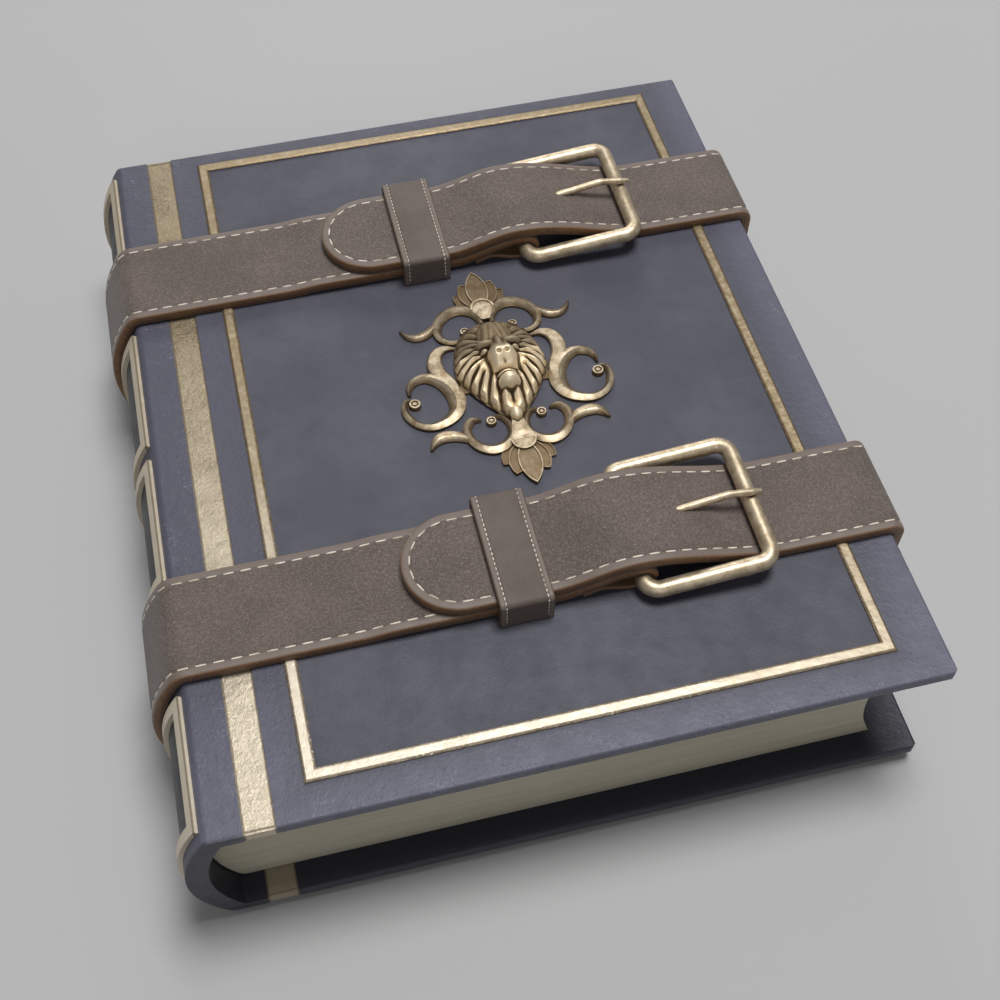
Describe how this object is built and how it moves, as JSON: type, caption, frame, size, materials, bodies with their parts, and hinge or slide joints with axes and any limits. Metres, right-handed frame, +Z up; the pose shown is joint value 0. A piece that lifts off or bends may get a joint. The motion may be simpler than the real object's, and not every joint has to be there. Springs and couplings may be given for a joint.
{
  "type": "antique leather book",
  "caption": "Closed leather-bound book with a rounded spine, gilt bands and frames and a cast lion mount, held shut by buckled leather straps.",
  "frame": {"origin": "on the surface the straps rest on, under the middle of the book", "axes": "+X from the spine to the fore-edge, +Y from tail to head, +Z up from the back cover to the front cover"},
  "size_m": [0.26, 0.3, 0.0798],
  "materials": {
    "cover_leather": "worn blue-grey leather with a light speckle",
    "gilt_leather": "rubbed gold foil on leather",
    "strap_leather": "grey-brown napped leather with tan edges",
    "keeper_leather": "smooth grey-brown leather",
    "antique_brass": "aged matt brass",
    "pages": "aged cut paper"
  },
  "bodies": {
    "book": {"front_cover": "cover_leather", "back_cover": "cover_leather", "spine": "cover_leather", "page_block": "pages", "front_gilt_band": "gilt_leather", "back_gilt_band": "gilt_leather", "front_gilt_frame": "gilt_leather", "spine_frame_1": "gilt_leather", "spine_frame_2": "gilt_leather", "spine_frame_3": "gilt_leather", "spine_frame_4": "gilt_leather", "scroll_mount": "antique_brass", "lion_head": "antique_brass", "upper_strap": "strap_leather", "lower_strap": "strap_leather", "upper_buckle": "antique_brass", "lower_buckle": "antique_brass", "upper_prong": "antique_brass", "lower_prong": "antique_brass"},
    "upper_keeper": {"upper_keeper": "keeper_leather"},
    "lower_keeper": {"lower_keeper": "keeper_leather"}
  },
  "joints": [
    {"name": "upper_keeper_slide", "type": "slide", "parent": "book", "child": "upper_keeper", "axis": [1, 0, 0], "range_m": [-0.026, 0.001]},
    {"name": "lower_keeper_slide", "type": "slide", "parent": "book", "child": "lower_keeper", "axis": [1, 0, 0], "range_m": [-0.026, 0.001]}
  ]
}
